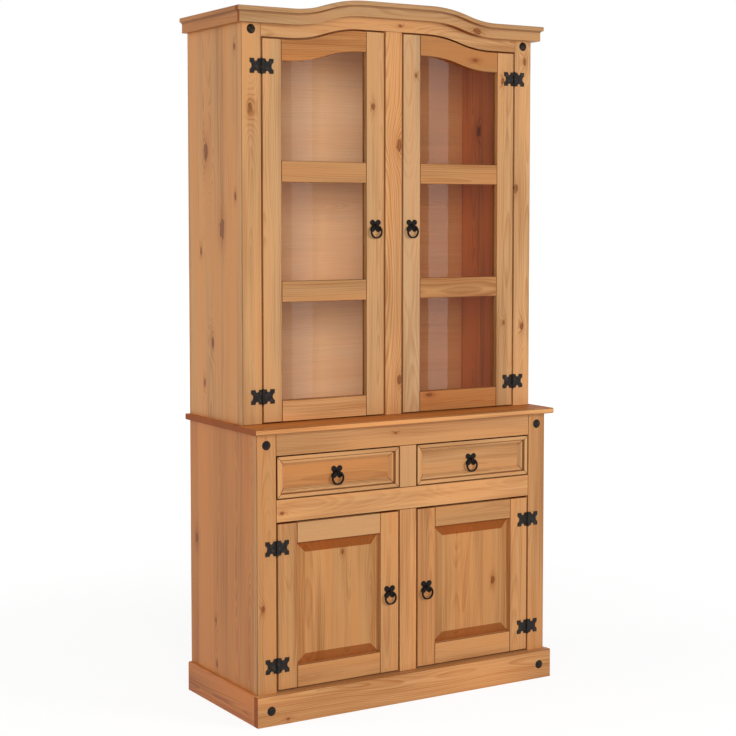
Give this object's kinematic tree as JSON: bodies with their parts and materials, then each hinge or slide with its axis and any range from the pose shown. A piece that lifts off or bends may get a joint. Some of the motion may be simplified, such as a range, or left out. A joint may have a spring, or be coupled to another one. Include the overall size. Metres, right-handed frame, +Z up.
{
  "type": "glazed dresser cabinet",
  "caption": "Tall waxed-pine dresser: glass-doored shelves under an arched crown on a base with drawers and panelled doors, black iron butterfly hinges and ring pulls.",
  "frame": {"origin": "on the floor under the centre of the worktop, which is the widest depth of the cabinet", "axes": "+X to the right seen from the front, -Y towards the front, +Z up"},
  "size_m": [0.961, 0.4162, 1.87],
  "materials": {
    "waxed_pine": "waxed, satin, visible grain and knots",
    "raw_pine": "unfinished sawn pine",
    "back_panel": "stained plywood, matt",
    "black_iron": "black wrought finish, slightly rough",
    "glass": "clear float glass",
    "catch": "brown moulded"
  },
  "bodies": {
    "cabinet": {"upper_back_panel": "back_panel", "upper_end_boards": "waxed_pine", "upper_shelves": "waxed_pine", "upper_corner_posts": "waxed_pine", "upper_middle_post": "waxed_pine", "arched_top_rail": "waxed_pine", "crown_front": "waxed_pine", "crown_sides": "waxed_pine", "worktop": "waxed_pine", "lower_back_panel": "back_panel", "lower_boards": "waxed_pine", "lower_corner_posts": "waxed_pine", "lower_middle_post": "waxed_pine", "lower_rails": "waxed_pine", "drawer_divider": "waxed_pine", "drawer_partition": "raw_pine", "drawer_runners": "raw_pine", "plinth": "waxed_pine", "plinth_back_rail": "raw_pine", "fixed_hinge_leaves": "black_iron", "hinge_pins": "black_iron", "door_catches": "catch", "left_upper_side": "waxed_pine", "right_upper_side": "waxed_pine", "left_lower_side": "waxed_pine", "right_lower_side": "waxed_pine", "left_upper_stud": "black_iron", "right_upper_stud": "black_iron", "left_lower_stud": "black_iron", "right_lower_stud": "black_iron", "left_plinth_stud": "black_iron", "right_plinth_stud": "black_iron"},
    "left_glass_door": {"left_glass_door_frame": "waxed_pine", "left_glass_pane": "glass", "left_glass_door_leaves": "black_iron", "left_glass_door_pull": "black_iron"},
    "left_panel_door": {"left_panel_door_frame": "waxed_pine", "left_panel_door_panel": "waxed_pine", "left_panel_door_leaves": "black_iron", "left_panel_door_pull": "black_iron"},
    "left_drawer": {"left_drawer_front": "waxed_pine", "left_drawer_box": "raw_pine", "left_drawer_pull": "black_iron"},
    "left_glass_door_ring": {"left_glass_door_ring": "black_iron"},
    "left_panel_door_ring": {"left_panel_door_ring": "black_iron"},
    "left_drawer_ring": {"left_drawer_ring": "black_iron"},
    "right_glass_door": {"right_glass_door_frame": "waxed_pine", "right_glass_pane": "glass", "right_glass_door_leaves": "black_iron", "right_glass_door_pull": "black_iron"},
    "right_panel_door": {"right_panel_door_frame": "waxed_pine", "right_panel_door_panel": "waxed_pine", "right_panel_door_leaves": "black_iron", "right_panel_door_pull": "black_iron"},
    "right_drawer": {"right_drawer_front": "waxed_pine", "right_drawer_box": "raw_pine", "right_drawer_pull": "black_iron"},
    "right_glass_door_ring": {"right_glass_door_ring": "black_iron"},
    "right_panel_door_ring": {"right_panel_door_ring": "black_iron"},
    "right_drawer_ring": {"right_drawer_ring": "black_iron"}
  },
  "joints": [
    {"name": "left_glass_door_hinge", "type": "hinge", "parent": "cabinet", "child": "left_glass_door", "pos_m": [-0.3995, -0.1128, 1.2635], "axis": [0, 0, -1], "range_deg": [0, 170]},
    {"name": "left_panel_door_hinge", "type": "hinge", "parent": "cabinet", "child": "left_panel_door", "pos_m": [-0.3995, -0.1873, 0.302], "axis": [0, 0, -1], "range_deg": [0, 170]},
    {"name": "left_drawer_slide", "type": "slide", "parent": "cabinet", "child": "left_drawer", "axis": [0, -1, 0], "range_m": [0, 0.28]},
    {"name": "left_glass_door_ring_swing", "type": "hinge", "parent": "left_glass_door", "child": "left_glass_door_ring", "pos_m": [-0.058, -0.1169, 1.2795], "axis": [-1, 0, 0], "range_deg": [-5, 150]},
    {"name": "left_panel_door_ring_swing", "type": "hinge", "parent": "left_panel_door", "child": "left_panel_door_ring", "pos_m": [-0.059, -0.1914, 0.302], "axis": [-1, 0, 0], "range_deg": [-5, 150]},
    {"name": "left_drawer_ring_swing", "type": "hinge", "parent": "left_drawer", "child": "left_drawer_ring", "pos_m": [-0.214, -0.1774, 0.6365], "axis": [-1, 0, 0], "range_deg": [0, 150]},
    {"name": "right_glass_door_hinge", "type": "hinge", "parent": "cabinet", "child": "right_glass_door", "pos_m": [0.3995, -0.1128, 1.2635], "axis": [0, 0, 1], "range_deg": [0, 170]},
    {"name": "right_panel_door_hinge", "type": "hinge", "parent": "cabinet", "child": "right_panel_door", "pos_m": [0.3995, -0.1873, 0.302], "axis": [0, 0, 1], "range_deg": [0, 170]},
    {"name": "right_drawer_slide", "type": "slide", "parent": "cabinet", "child": "right_drawer", "axis": [0, -1, 0], "range_m": [0, 0.28]},
    {"name": "right_glass_door_ring_swing", "type": "hinge", "parent": "right_glass_door", "child": "right_glass_door_ring", "pos_m": [0.058, -0.1169, 1.2795], "axis": [-1, 0, 0], "range_deg": [-5, 150]},
    {"name": "right_panel_door_ring_swing", "type": "hinge", "parent": "right_panel_door", "child": "right_panel_door_ring", "pos_m": [0.059, -0.1914, 0.302], "axis": [-1, 0, 0], "range_deg": [-5, 150]},
    {"name": "right_drawer_ring_swing", "type": "hinge", "parent": "right_drawer", "child": "right_drawer_ring", "pos_m": [0.214, -0.1774, 0.6365], "axis": [-1, 0, 0], "range_deg": [0, 150]}
  ]
}
